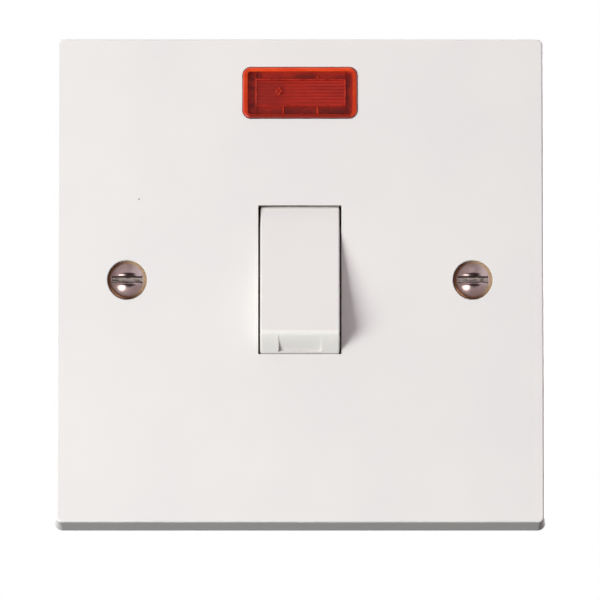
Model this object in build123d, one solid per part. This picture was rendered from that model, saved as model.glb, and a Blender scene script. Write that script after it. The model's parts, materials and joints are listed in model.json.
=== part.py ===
from build123d import *
import os
from math import asin, cos, hypot, radians, sin, tan

# A white moulded wall plate with a double pole rocker switch and a red neon window, in millimetres.
# X is to the right as the user faces it, Y goes back into the wall and Z is up. The origin lies midway
# between the two fixing screws, on the wall's face. The rocker rests with its lower end out: off.

# Clearances that several pieces share
fit_gap = 0.1
face_gap = 0.05
round_gap = 0.05

# How far a feature that grows out of another one starts inside it
root = 0.3

# Front plate
plate_size = 86.0
plate_depth = 9.5
plate_draft = 3.0
plate_corner_radius = 1.5
plate_edge_radius = 0.4
face_thickness = 2.5
rim_thickness = 2.2
rib_thickness = 1.4
rib_height = 3.0
rib_offset = 20.0
rib_end_gap = 1.5
rib_in_tube = 1.0

# Fixing screws, raised countersunk M3.5, and the tubes they pass through
fixing_centres = 60.3
fixing_tube_radius = 4.6
fixing_tube_setback = 0.3
fixing_hole_radius = 2.1
fixing_thread_radius = 1.75
fixing_neck_radius = 1.45
fixing_head_radius = 3.42
fixing_head_gap = 0.13
fixing_seat_gap = 0.03
fixing_dome_height = 1.15
fixing_screw_length = 25.0
fixing_tip_chamfer = 0.4
fixing_slot_length = 5.3
fixing_slot_width = 1.0
fixing_slot_depth = 1.5

# Rocker and the opening that it works in
rocker_width = 13.9
rocker_side_gap = 0.28
rocker_end_gap = 0.18
rocker_face_length = 23.1
rocker_face_height = 8.7
rocker_swing = 10.0
rocker_wall = 1.3
rocker_face_wall = 1.8
rocker_ridge_radius = 0.7
rocker_edge_radius = 0.3
rocker_skirt_angle = 4.0
rocker_skirt_depth = 2.6
rocker_skirt_width = 10.0
rocker_foot_sink = 0.1
opening_length = 26.1
opening_corner_radius = 0.5
pivot_depth = 7.06
trunnion_radius = 1.5
trunnion_gap = 0.06
cheek_thickness = 2.0
well_wall = 2.1
thumb_recess_width = 7.5
thumb_recess_depth = 0.45
thumb_recess_start = 0.6
thumb_recess_lip = 0.35

# Sprung plungers, one for each pole, in tubes under the rocker's face
pole_offset = 4.2
plunger_radius = 1.45
plunger_bore_gap = 0.1
plunger_tube_wall = 0.65
plunger_reach = 8.0
plunger_seat = 1.0
plunger_tube_reach = 5.0
plunger_bore_depth = 5.5
plunger_mid_gap = 0.03
spring_wire_radius = 0.18
spring_coil_radius = 1.0
spring_turns = 5
spring_wire_sides = 8

# Tilting contact arms, each with a notch that rocks on a knife edge
arm_width = 3.2
arm_thickness = 1.0
arm_corner_chamfer = 0.6
arm_notch_depth = 0.4
arm_notch_angle = 60.0
arm_swing = 11.5
arm_tail = 7.0
arm_nose = 9.5
arm_stop_gap = 0.3
knife_edge_radius = 0.15
knife_angle = 20.0
contact_reach = 7.8
contact_gap = 0.06
moving_tip_radius = 1.5
moving_tip_height = 0.8
tip_dome_radius = 3.0
fixed_tip_radius = 1.7
fixed_tip_height = 0.8

# Terminals
strip_thickness = 1.0
strip_width = 3.4
strip_cross_width = 2.8
strip_cross_gap = 0.3
strip_tab_width = 2.4
strip_end_margin = 0.5
strip_knife_margin = 0.1
block_width = 7.2
block_length = 8.0
block_wall = 1.0
block_thread_length = 3.0
block_rear_step = 0.5
block_edge_chamfer = 0.4
wire_bore_radius = 2.4
earth_block_width = 8.0
earth_block_length = 6.3
terminal_screw_radius = 1.7
terminal_thread_gap = 0.04
terminal_tip_gap = 0.1
terminal_head_radius = 2.9
terminal_head_height = 2.0
terminal_head_chamfer = 0.3
terminal_screw_lift = 2.0
terminal_slot_width = 0.9
terminal_slot_depth = 1.0
terminal_well_gap = 0.4

# Mechanism base
base_width = 44.0
base_height = 50.0
base_wall = 1.6
base_floor = 2.2
base_corner_radius = 2.0
base_edge_radius = 0.7
chamber_half_width = 7.6
barrier_thickness = 1.2
barrier_gap = 0.4
support_half_width = 1.2
support_half_height = 1.0
rear_margin = 0.6
wire_funnel_step = 0.15
wire_funnel_radius = 3.2
lead_notch_width = 1.8
lead_notch_depth = 4.0
rear_panel_depth = 0.5
rear_panel_margin = 1.5
rear_panel_corner_radius = 1.5

# Screws, bosses and columns that hold the base to the plate, and the posts that steady the blocks
column_radius = 3.6
column_in_wall = 0.4
boss_radius = 2.9
boss_length = 11.2
boss_pilot_floor = 0.6
post_radius = 1.8
post_inset = 1.1
base_screw_radius = 1.3
base_screw_hole_gap = 0.3
base_screw_tip_gap = 0.8
base_screw_head_radius = 2.8
base_screw_head_height = 1.8
base_screw_head_round = 0.7
base_screw_recess = 2.8
base_screw_well_gap = 0.4
cross_slot_half_length = 1.7
cross_slot_half_width = 0.3
cross_slot_depth = 1.1

# Neon window
lens_width = 20.0
lens_height = 9.0
lens_lift = 0.1
lens_corner_radius = 1.4
lens_proud = 0.25
lens_gap = 0.1
lens_wall = 0.9
lens_face_wall = 1.2
lens_edge_radius = 0.3
lens_flange_width = 0.7
lens_flange_thickness = 0.9
lens_leg_width = 5.7
lens_leg_length = 2.6
lens_leg_thickness = 0.8
lens_catch_depth = 0.5
lens_catch_length = 0.9
flute_count = 8
flute_pitch = 0.58
flute_length = 15.8
flute_height = 0.28
flute_root = 0.1

# Holder behind the window, with its ears on two heat-staked pegs of the plate
holder_wide_margin = 0.4
holder_tall_margin = 0.7
holder_wall = 1.0
holder_depth = 5.0
holder_floor = 0.8
holder_corner_radius = 0.8
ear_reach = 4.0
ear_thickness = 1.2
peg_radius = 1.0
peg_height = 3.0
peg_above_ear = 0.2
peg_head_radius = 1.7
peg_head_height = 0.8
peg_head_taper = 35.0
saddle_thickness = 1.0
saddle_half_height = 1.2
saddle_inset = 3.0
saddle_past_middle = -0.5

# Neon lamp, its resistor and its leads
lamp_radius = 1.9
lamp_length = 9.5
lamp_glass = 0.3
lamp_pinch = 1.6
lamp_inset = 1.7
lamp_face_gap = 0.25
lamp_lift = 0.3
electrode_radius = 0.4
electrode_length = 5.5
electrode_spread = 0.6
electrode_root = 0.2
wire_radius = 0.22
wire_turn_inset = 0.7
resistor_radius = 1.15
resistor_length = 5.4
resistor_end_gap = 0.5
resistor_floor_gap = 0.4
resistor_end_round = 0.5
lead_radius = 0.65
lead_run_depth = 1.6
lead_run_slant = 0.4
lead_above_base = 2.0
lead_block_inset = 0.9

# Places that follow from the sizes above: the plate and its opening
front_y = -plate_depth
inner_y = front_y + face_thickness
root_y = inner_y - root
pivot_y = front_y + pivot_depth
opening_radius = hypot(opening_length / 2, pivot_depth)
opening_half_width = rocker_width / 2 + rocker_side_gap
cheek_outer = opening_half_width + cheek_thickness
well_half_length = opening_radius + well_wall
well_rear_y = pivot_y + trunnion_radius

# The rocker, the plungers and the arms
rocker_radius = opening_radius - rocker_end_gap
swing = radians(rocker_swing)
skirt_angle = radians(rocker_skirt_angle)
foot_angle = asin((pivot_depth - rocker_foot_sink) / rocker_radius) - swing
rocker_at_rest = Pos(0, pivot_y, 0) * Rot(-rocker_swing, 0, 0)
plunger_bore_radius = plunger_radius + plunger_bore_gap
arm_front_y = pivot_y + plunger_reach + plunger_mid_gap
arm_pivot_y = arm_front_y + arm_thickness - arm_notch_depth
arm_at_rest = Pos(0, arm_pivot_y, 0) * Rot(arm_swing, 0, 0)
tilt = radians(arm_swing)
dome_centre = arm_notch_depth + moving_tip_height - tip_dome_radius
fixed_tip_z = contact_reach * cos(tilt) - dome_centre * sin(tilt)
dome_centre_y = arm_pivot_y + dome_centre * cos(tilt) + contact_reach * sin(tilt)
fixed_tip_y = dome_centre_y + tip_dome_radius + contact_gap
load_strip_y = fixed_tip_y + fixed_tip_height
supply_strip_y = arm_pivot_y + arm_notch_depth * cos(tilt) + arm_tail * sin(tilt) + arm_stop_gap
knife_spread = radians(knife_angle)
knife_depth = supply_strip_y - arm_pivot_y + root
knife_foot_z = knife_edge_radius / cos(knife_spread) + knife_depth * tan(knife_spread)

# The terminal blocks and the base round them
block_rear_y = load_strip_y + strip_thickness + block_rear_step
wire_bore_y = block_rear_y - block_thread_length - wire_bore_radius
block_front_y = wire_bore_y - wire_bore_radius - block_wall
block_x = chamber_half_width + base_wall + 2 * fit_gap + block_width / 2
block_outer_z = base_height / 2 - base_wall - fit_gap
block_inner_z = block_outer_z - block_length
earth_inner_z = block_outer_z - earth_block_length
strip_tab_x = block_x - block_width / 2 + strip_tab_width
strip_cross_z = block_inner_z - strip_cross_gap - strip_cross_width
screw_head_y = block_rear_y + terminal_screw_lift
base_rear_y = screw_head_y + terminal_head_height + rear_margin
chamber_floor_y = base_rear_y - base_floor
chamber_half_length = opening_radius + 3 * fit_gap
front_chamber_y = well_rear_y + fit_gap
side_chamber_half = block_inner_z - 2 * fit_gap - base_wall
boss_offset = base_width / 2 - base_wall - column_radius + column_in_wall
boss_end_y = inner_y + boss_length
base_screw_seat_y = base_rear_y - base_screw_recess
post_z = block_inner_z + post_radius + post_inset
earth_post_z = (earth_inner_z + block_outer_z) / 2

# The window, midway between the base's upper edge and the plate's rim, and what stands behind it
lens_centre = (base_height / 2 + plate_size / 2 - rim_thickness) / 2 + lens_lift
holder_front_y = inner_y + lens_flange_thickness + fit_gap
holder_rear_y = holder_front_y + holder_depth
holder_half_width = lens_width / 2 + holder_wide_margin
holder_half_height = lens_height / 2 + holder_tall_margin
cavity_half_width = holder_half_width - holder_wall
cavity_half_height = holder_half_height - holder_wall
cavity_rear_y = holder_rear_y - holder_floor
lamp_y = holder_front_y + lamp_radius + lamp_face_gap
lamp_z = lens_centre + lamp_lift
lamp_left = -cavity_half_width + lamp_inset
lamp_round_x = lamp_left + lamp_length - lamp_radius
electrode_left = lamp_left + lamp_pinch + lamp_glass
resistor_z = lens_centre - cavity_half_height + resistor_radius + resistor_floor_gap
resistor_right = cavity_half_width - resistor_end_gap
resistor_left = resistor_right - resistor_length
peg_x = holder_half_width + ear_reach / 2
peg_z = lens_centre + holder_half_height - ear_reach / 2
ear_y = inner_y + peg_height
ear_rear_y = ear_y + ear_thickness


def brick(x_span, y_span, z_span):
    """A box between the two ends of each span, in either order."""
    spans = [sorted(span) for span in (x_span, y_span, z_span)]
    middle = [(low + high) / 2 for low, high in spans]
    return Pos(*middle) * Box(*[high - low for low, high in spans])


def rod(radius, start, end):
    """A round bar between two points."""
    start, end = Vector(*start), Vector(*end)
    along = Plane(origin=start, z_dir=end - start)
    return along * Cylinder(radius, (end - start).length, align=(Align.CENTER, Align.CENTER, Align.MIN))


def y_rod(radius, x, z, y_span):
    return rod(radius, (x, y_span[0], z), (x, y_span[1], z))


def x_rod(radius, y, z, x_span):
    return rod(radius, (x_span[0], y, z), (x_span[1], y, z))


def taper_rod(start_radius, end_radius, start, direction, length):
    """A cone frustum that starts at a point and runs along a direction."""
    cone = Cone(start_radius, end_radius, length, align=(Align.CENTER, Align.CENTER, Align.MIN))
    return Plane(origin=start, z_dir=direction) * cone


def side_point(forward, up):
    """A point on the switch's centre plane, measured from a pivot: forward is towards the user."""
    return Vector(0, -forward, up)


def side_prism(edges, half_width):
    return extrude(make_face(edges), amount=half_width, dir=(1, 0, 0), both=True)


def side_polygon(corners, half_width):
    edges = [Line(corner, following) for corner, following in zip(corners, corners[1:] + corners[:1])]
    return side_prism(edges, half_width)


def rounded_wedge(edge_radius, half_angle, depth, half_width):
    """A wedge along X with its round edge on the origin's axis, which widens towards +Y down to depth."""
    spread = radians(half_angle)
    near_y, near_z = -edge_radius * sin(spread), edge_radius * cos(spread)
    far_z = near_z + (depth - near_y) * tan(spread)
    corners = [
        Vector(0, near_y, near_z),
        Vector(0, depth, far_z),
        Vector(0, depth, -far_z),
        Vector(0, near_y, -near_z),
    ]
    return side_polygon(corners, half_width) + x_rod(edge_radius, 0, 0, (-half_width, half_width))


def cable(points, radius):
    """A round lead along straight runs joined by arcs, each as large as its two runs allow."""
    points = [Vector(*p) for p in points]
    radii = []
    for before, corner, after in zip(points, points[1:], points[2:]):
        arriving, leaving = corner - before, after - corner
        half_turn = radians(arriving.get_angle(leaving)) / 2
        radii.append(0.45 * min(arriving.length, leaving.length) / tan(half_turn))
    path = FilletPolyline(*points, radius=radii)
    section = Plane(origin=points[0], z_dir=points[1] - points[0]) * Circle(radius)
    return sweep(section, path=path)


# Front plate
def tapered_block(size, depth):
    """A square block standing forward from the wall's face, with drafted sides and round corners."""
    outline = Plane.XZ * RectangleRounded(size, size, plate_corner_radius)
    return extrude(outline, amount=depth, taper=plate_draft)


def plate_shell():
    outer = tapered_block(plate_size, plate_depth)
    outer = fillet(outer.faces().sort_by(Axis.Y)[0].edges(), plate_edge_radius)
    return outer - tapered_block(plate_size - 2 * rim_thickness, plate_depth - face_thickness)


def plate_ribs():
    """Stiffening ribs inside the shell, from the fixing tubes and past the base to the rim."""
    half_rib = rib_thickness / 2
    wall_z = plate_size / 2 - rim_thickness / 2 - plate_depth * tan(radians(plate_draft))
    rib_span = (root_y, inner_y + rib_height)
    tube_x = fixing_centres / 2 + fixing_tube_radius - rib_in_tube
    ribs = []
    for side in (1, -1):
        ribs.append(brick((side * tube_x, side * wall_z), rib_span, (-half_rib, half_rib)))
        x_span = (side * rib_offset - half_rib, side * rib_offset + half_rib)
        for end in (1, -1):
            ribs.append(brick(x_span, rib_span, (end * (base_height / 2 + rib_end_gap), end * wall_z)))
    return ribs


def opening_cutter():
    """The rocker's opening: a disc about the pivot, so that the rocker's round ends just clear it."""
    cutter = extrude(Plane.YZ * Circle(opening_radius), amount=opening_half_width, both=True)
    cutter = fillet(cutter.edges().filter_by(GeomType.CIRCLE), opening_corner_radius)
    return Pos(0, pivot_y, 0) * cutter


def window_outline(grow):
    return RectangleRounded(lens_width + 2 * grow, lens_height + 2 * grow, lens_corner_radius + grow)


def window_plane(y):
    """A plane behind the window at depth y, with its normal into the wall."""
    return Plane((0, y, lens_centre), x_dir=(1, 0, 0), z_dir=(0, 1, 0))


def plate_posts(side):
    """What stands behind the plate on one side: fixing tube, base boss, block posts and holder peg."""
    posts = y_rod(fixing_tube_radius, side * fixing_centres / 2, 0, (root_y, -fixing_tube_setback))
    posts += y_rod(boss_radius, side * boss_offset, 0, (root_y, boss_end_y))
    for end in (1, -1):
        posts += y_rod(post_radius, side * block_x, end * post_z, (root_y, block_front_y - fit_gap))
    posts += y_rod(peg_radius, side * peg_x, peg_z, (root_y, ear_rear_y + peg_above_ear))
    head_plane = Plane((side * peg_x, ear_rear_y + face_gap, peg_z), z_dir=(0, 1, 0))
    return posts + extrude(head_plane * Circle(peg_head_radius), amount=peg_head_height, taper=peg_head_taper)


def fixing_hole(side):
    """A clearance hole with a countersink, and a short straight step for the edge of the head."""
    x = side * fixing_centres / 2
    seat_y = front_y + fixing_head_gap
    seat_radius = fixing_head_radius + fixing_head_gap
    hole = y_rod(fixing_hole_radius, x, 0, (front_y, 0)) + y_rod(seat_radius, x, 0, (front_y, seat_y))
    depth = seat_radius - fixing_hole_radius
    return hole + taper_rod(seat_radius, fixing_hole_radius, (x, seat_y, 0), (0, 1, 0), depth)


def make_front_plate():
    plate = plate_shell()
    plate += brick((-cheek_outer, cheek_outer), (root_y, well_rear_y), (-well_half_length, well_half_length))
    for rib in plate_ribs():
        plate += rib
    plate += y_rod(post_radius, 0, -earth_post_z, (root_y, block_front_y - fit_gap))
    for side in (1, -1):
        plate += plate_posts(side)

    plate -= opening_cutter()
    slot_radius = trunnion_radius + trunnion_gap
    plate -= x_rod(slot_radius, pivot_y, 0, (-cheek_outer, cheek_outer))
    plate -= brick((-cheek_outer, cheek_outer), (pivot_y, well_rear_y), (-slot_radius, slot_radius))
    plate -= extrude(window_plane(front_y) * window_outline(lens_gap), amount=face_thickness + root)
    for side in (1, -1):
        plate -= fixing_hole(side)
        pilot_span = (inner_y + boss_pilot_floor, boss_end_y)
        plate -= y_rod(base_screw_radius + fixing_seat_gap, side * boss_offset, 0, pilot_span)
    return plate


# Rocker
def ring_point(radius, angle):
    """A point of the rocker's round end wall, at an angle forward of the line to its middle."""
    return side_point(radius * sin(angle), radius * cos(angle))


def rocker_outline(radius, face_height, half_face, rear_depth, half_rear):
    """The rocker's side outline about its pivot: a flat face, a slope at each end and round end walls."""
    ridge = side_point(face_height, half_face)
    foot = ring_point(radius, foot_angle)
    middle = ring_point(radius, (foot_angle - skirt_angle) / 2)
    skirt = ring_point(radius, -skirt_angle)
    hip = side_point(-rear_depth, half_rear)

    def low(point):
        return Vector(0, point.Y, -point.Z)

    return [
        Line(ridge, foot),
        ThreePointArc(foot, middle, skirt),
        Line(skirt, hip),
        Line(hip, low(hip)),
        Line(low(hip), low(skirt)),
        ThreePointArc(low(skirt), low(middle), low(foot)),
        Line(low(foot), low(ridge)),
        Line(low(ridge), ridge),
    ]


def thumb_recess(end):
    """A shallow ramp in the end slope, deepest at its foot, where it stops at a small ledge."""
    ridge = side_point(rocker_face_height, end * rocker_face_length / 2)
    foot = side_point(rocker_radius * sin(foot_angle), end * rocker_radius * cos(foot_angle))
    down = (foot - ridge).normalized()
    inward = Vector(0, down.Z, -down.Y) * end
    start = ridge + down * thumb_recess_start
    ledge = foot - down * thumb_recess_lip
    corners = [start, ledge - inward * root, ledge + inward * thumb_recess_depth]
    return side_polygon(corners, thumb_recess_width / 2)


def rocker_shell():
    """The moulded button: a hollow block with rounded ridges and rims, open towards the mechanism."""
    half_width, half_face = rocker_width / 2, rocker_face_length / 2
    outline = rocker_outline(
        rocker_radius,
        rocker_face_height,
        half_face,
        rocker_skirt_depth,
        rocker_skirt_width / 2,
    )
    shell = side_prism(outline, half_width)

    def is_ridge(edge):
        middle = edge.center()
        return abs(abs(middle.Z) - half_face) < 0.01 and abs(middle.Y + rocker_face_height) < 0.01

    def is_rim(edge):
        middle = edge.center()
        return abs(abs(middle.X) - half_width) < 0.01 and middle.Y < 0.2 - rocker_radius * sin(foot_angle)

    shell = fillet(shell.edges().filter_by(Axis.X).filter_by(is_ridge), rocker_ridge_radius)
    shell = fillet(shell.edges().filter_by(is_rim), rocker_edge_radius)
    inner_radius = rocker_radius - rocker_wall
    hollow = rocker_outline(
        inner_radius,
        rocker_face_height - rocker_face_wall,
        half_face - rocker_wall,
        rocker_skirt_depth + rocker_wall,
        inner_radius,
    )
    return shell - side_prism(hollow, half_width - rocker_wall)


def make_rocker():
    """The button with a tube for each plunger and a trunnion on each side."""
    rocker = rocker_shell()
    face_inside = rocker_face_wall - rocker_face_height
    tube_radius = plunger_bore_radius + plunger_tube_wall
    for side in (1, -1):
        rocker += y_rod(tube_radius, side * pole_offset, 0, (face_inside - root, plunger_tube_reach))
        trunnion_span = (side * (rocker_width / 2 - rocker_wall / 2), side * (cheek_outer - fit_gap))
        rocker += x_rod(trunnion_radius, 0, 0, trunnion_span)
    for side in (1, -1):
        rocker -= y_rod(plunger_bore_radius, side * pole_offset, 0, (-plunger_bore_depth, plunger_tube_reach))
        rocker -= thumb_recess(side)
    return rocker_at_rest * rocker


def make_plunger(side):
    x = side * pole_offset
    dome_y = plunger_reach - plunger_radius
    plunger = y_rod(plunger_radius, x, 0, (plunger_seat, dome_y))
    return rocker_at_rest * (plunger + Pos(x, dome_y, 0) * Sphere(plunger_radius))


def make_plunger_spring(side):
    """A coil between the bore's blind end and the plunger, of wire with a simple many-sided section."""
    length = plunger_seat + plunger_bore_depth - 2 * spring_wire_radius
    helix = Helix(
        pitch=length / spring_turns,
        height=length,
        radius=spring_coil_radius,
        center=(side * pole_offset, spring_wire_radius - plunger_bore_depth, 0),
        direction=(0, 1, 0),
    )
    section = Plane(origin=helix @ 0, z_dir=helix % 0) * RegularPolygon(spring_wire_radius, spring_wire_sides)
    return rocker_at_rest * sweep(section, path=helix, is_frenet=True)


# Contact arms, rocking on the supply terminals
def make_moving_contact(side):
    x = side * pole_offset
    y_span = (arm_notch_depth - arm_thickness, arm_notch_depth)
    arm = brick((x - arm_width / 2, x + arm_width / 2), y_span, (-arm_tail, arm_nose))
    arm = chamfer(arm.edges().filter_by(Axis.Y), arm_corner_chamfer)
    notch_radius = knife_edge_radius + round_gap
    arm -= Pos(x, 0, 0) * rounded_wedge(notch_radius, arm_notch_angle, arm_notch_depth, arm_width / 2)
    return arm_at_rest * arm


def make_moving_tip(side):
    x = side * pole_offset
    y_span = (arm_notch_depth, arm_notch_depth + moving_tip_height)
    button = y_rod(moving_tip_radius, x, contact_reach, y_span)
    return arm_at_rest * (button & Pos(x, dome_centre, contact_reach) * Sphere(tip_dome_radius))


def make_fixed_tip(side):
    return y_rod(fixed_tip_radius, side * pole_offset, fixed_tip_z, (fixed_tip_y, load_strip_y))


# Terminals
def terminal_block(x, width, inner_z, outer_z):
    """A brass block with a hole for the wire, open at both ends, and a tapped hole for the screw."""
    block = brick((x - width / 2, x + width / 2), (block_front_y, block_rear_y), (inner_z, outer_z))
    block = chamfer(block.edges().filter_by(Axis.Z), block_edge_chamfer)
    block -= rod(wire_bore_radius, (x, wire_bore_y, inner_z), (x, wire_bore_y, outer_z))
    thread_radius = terminal_screw_radius + terminal_thread_gap
    return block - y_rod(thread_radius, x, (inner_z + outer_z) / 2, (wire_bore_y, block_rear_y))


def strip(side, end, strip_y, inner_z):
    """A flat strip from a terminal block across to the pole, then along it to inner_z."""
    y_span = (strip_y, strip_y + strip_thickness)
    inner_x = side * (pole_offset - strip_width / 2)
    outer_x = side * (pole_offset + strip_width / 2)
    tab_x = side * strip_tab_x
    near_z = end * strip_cross_z
    far_z = end * (strip_cross_z + strip_cross_width)
    crossing = brick((inner_x, tab_x), y_span, (near_z, far_z))
    tab = brick((tab_x - side * strip_tab_width, tab_x), y_span, (near_z, end * block_inner_z))
    leg = brick((inner_x, outer_x), y_span, (inner_z, far_z))
    return crossing + tab + leg


def make_load_terminal(side):
    block = terminal_block(side * block_x, block_width, block_inner_z, block_outer_z)
    return block + strip(side, 1, load_strip_y, fixed_tip_z - fixed_tip_radius - strip_end_margin)


def make_supply_terminal(side):
    """The block, its strip, and the knife edge that the arm rocks on."""
    block = terminal_block(side * block_x, block_width, -block_inner_z, -block_outer_z)
    knife = rounded_wedge(knife_edge_radius, knife_angle, knife_depth, arm_width / 2)
    knife = Pos(side * pole_offset, arm_pivot_y, 0) * knife
    return block + strip(side, -1, supply_strip_y, knife_foot_z + strip_knife_margin) + knife


def make_earth_terminal():
    return terminal_block(0, earth_block_width, -earth_inner_z, -block_outer_z)


def cheese_head_screw(x, z, tip_y):
    """A slotted screw, backed out so that the wire hole under it is clear."""
    head_end = screw_head_y + terminal_head_height
    shank = y_rod(terminal_screw_radius, x, z, (tip_y, screw_head_y + root))
    head = y_rod(terminal_head_radius, x, z, (screw_head_y, head_end))
    head = chamfer(head.faces().sort_by(Axis.Y)[-1].edges(), terminal_head_chamfer)
    half_slot = terminal_slot_width / 2
    slot = brick(
        (x - terminal_head_radius, x + terminal_head_radius),
        (head_end - terminal_slot_depth, head_end),
        (z - half_slot, z + half_slot),
    )
    return shank + head - slot


def terminal_places():
    """Where the terminal screws stand: four line and neutral ones, then the earth."""
    block_z = (block_inner_z + block_outer_z) / 2
    corners = [(side * block_x, end * block_z) for end in (1, -1) for side in (1, -1)]
    return corners + [(0, -earth_post_z)]


def make_terminal_screws():
    tip_y = wire_bore_y + wire_bore_radius + terminal_tip_gap
    return Compound(children=[cheese_head_screw(x, z, tip_y) for x, z in terminal_places()])


# Mechanism base
def base_body():
    half_width, half_height = base_width / 2, base_height / 2
    body = brick((-half_width, half_width), (inner_y + face_gap, base_rear_y), (-half_height, half_height))
    body = fillet(body.edges().filter_by(Axis.Y), base_corner_radius)
    return fillet(body.faces().sort_by(Axis.Y)[-1].edges(), base_edge_radius)


def base_chambers():
    """What is cut from the front: the tray over the rocker's well, the contact and side chambers."""
    inside_x, inside_z = base_width / 2 - base_wall, base_height / 2 - base_wall
    depth = (front_chamber_y, chamber_floor_y)
    tray = brick((-inside_x, inside_x), (inner_y, front_chamber_y), (-inside_z, inside_z))
    contact_x = (-chamber_half_width, chamber_half_width)
    cuts = [tray, brick(contact_x, depth, (-chamber_half_length, chamber_half_length))]
    for side in (1, -1):
        x_span = (side * (chamber_half_width + base_wall), side * inside_x)
        chamber = brick(x_span, depth, (-side_chamber_half, side_chamber_half))
        column = y_rod(column_radius, side * boss_offset, 0, (boss_end_y + fit_gap, chamber_floor_y))
        cuts.append(chamber - column)
    return cuts


def strip_channels(side, end, strip_y):
    """The way that a strip lies in: across from its block, and along the pole into the chamber."""
    y_span = (front_chamber_y, strip_y + strip_thickness + face_gap)
    outer_x = side * (strip_tab_x + fit_gap)
    near_z = end * (strip_cross_z - fit_gap)
    half_leg = strip_width / 2 + fit_gap
    across = brick((side * (pole_offset - half_leg), outer_x), y_span, (near_z, end * block_inner_z))
    leg_x = (side * (pole_offset - half_leg), side * (pole_offset + half_leg))
    along = brick(leg_x, y_span, (end * (chamber_half_length - root), end * block_inner_z))
    return [across, along]


def base_pockets():
    """Pockets that hold the terminal blocks, with the channels that their strips lie in."""
    cuts = []
    half = block_width / 2 + fit_gap
    y_span = (front_chamber_y, block_rear_y + fit_gap)
    outer_z = block_outer_z + fit_gap
    for side in (1, -1):
        x_span = (side * block_x - half, side * block_x + half)
        for end, strip_y in ((1, load_strip_y), (-1, supply_strip_y)):
            cuts.append(brick(x_span, y_span, (end * (block_inner_z - fit_gap), end * outer_z)))
            cuts += strip_channels(side, end, strip_y)
    earth_half = earth_block_width / 2 + fit_gap
    cuts.append(brick((-earth_half, earth_half), y_span, (-outer_z, -(earth_inner_z - fit_gap))))
    return cuts


def terminal_openings():
    """A well for the screwdriver and a funnel for the wire at each terminal."""
    cuts = []
    inside_z = base_height / 2 - base_wall
    mouth_radius = wire_bore_radius + wire_funnel_step
    for x, z in terminal_places():
        cuts.append(y_rod(terminal_head_radius + terminal_well_gap, x, z, (block_rear_y, base_rear_y)))
        end = 1 if z > 0 else -1
        start = (x, wire_bore_y, end * inside_z)
        cuts.append(taper_rod(mouth_radius, wire_funnel_radius, start, (0, 0, end), base_wall))
    return cuts


def base_openings():
    """Notches for the neon's leads, and the holes and wells of the base's own screws."""
    cuts = []
    half_notch = lead_notch_width / 2
    notch_z = (base_height / 2 - base_wall - fit_gap, base_height / 2)
    well_radius = base_screw_head_radius + base_screw_well_gap
    hole_radius = base_screw_radius + base_screw_hole_gap
    for side in (1, -1):
        x = side * block_x
        cuts.append(brick((x - half_notch, x + half_notch), (inner_y, inner_y + lead_notch_depth), notch_z))
        cuts.append(y_rod(hole_radius, side * boss_offset, 0, (boss_end_y, base_rear_y)))
        cuts.append(y_rod(well_radius, side * boss_offset, 0, (base_screw_seat_y, base_rear_y)))
    return cuts


def rear_panel():
    """A shallow sunk panel on the base's back, between the wells of its screws and of the terminals."""
    half_width = boss_offset - base_screw_head_radius - base_screw_well_gap - rear_panel_margin
    half_height = block_inner_z - rear_panel_margin
    y_span = (base_rear_y - rear_panel_depth, base_rear_y)
    panel = brick((-half_width, half_width), y_span, (-half_height, half_height))
    return fillet(panel.edges().filter_by(Axis.Y), rear_panel_corner_radius)


def pole_barrier():
    """The wall between the poles, which stops just short of the swinging rocker."""
    half = barrier_thickness / 2
    front = pivot_y + rocker_radius * sin(swing + skirt_angle) + barrier_gap
    reach = chamber_half_length + root
    return brick((-half, half), (front, chamber_floor_y + root), (-reach, reach))


def strip_supports(side):
    """Two short pillars from the chamber's floor, under the fixed tip and under the knife edge."""
    x_span = (side * pole_offset - support_half_width, side * pole_offset + support_half_width)
    supports = []
    for strip_y, z in ((load_strip_y, fixed_tip_z), (supply_strip_y, 0)):
        y_span = (strip_y + strip_thickness + face_gap, chamber_floor_y + root)
        supports.append(brick(x_span, y_span, (z - support_half_height, z + support_half_height)))
    return supports


def make_mechanism_base():
    base = base_body()
    for cut in base_chambers() + base_pockets() + terminal_openings() + base_openings():
        base -= cut
    base -= rear_panel()
    base += pole_barrier()
    for support in strip_supports(1) + strip_supports(-1):
        base += support
    return base


def base_screw(x):
    """A self-tapping screw with a domed head and a cross slot, from the back into the plate's boss."""
    head_end = base_screw_seat_y + base_screw_head_height
    shank_span = (inner_y + boss_pilot_floor + base_screw_tip_gap, base_screw_seat_y + root)
    head = y_rod(base_screw_head_radius, x, 0, (base_screw_seat_y, head_end))
    head = fillet(head.faces().sort_by(Axis.Y)[-1].edges(), base_screw_head_round)
    slot_span = (head_end - cross_slot_depth, head_end)
    long, short = cross_slot_half_length, cross_slot_half_width
    for half_x, half_z in ((long, short), (short, long)):
        head -= brick((x - half_x, x + half_x), slot_span, (-half_z, half_z))
    return y_rod(base_screw_radius, x, 0, shank_span) + head


def make_base_screws():
    return Compound(children=[base_screw(boss_offset), base_screw(-boss_offset)])


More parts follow.
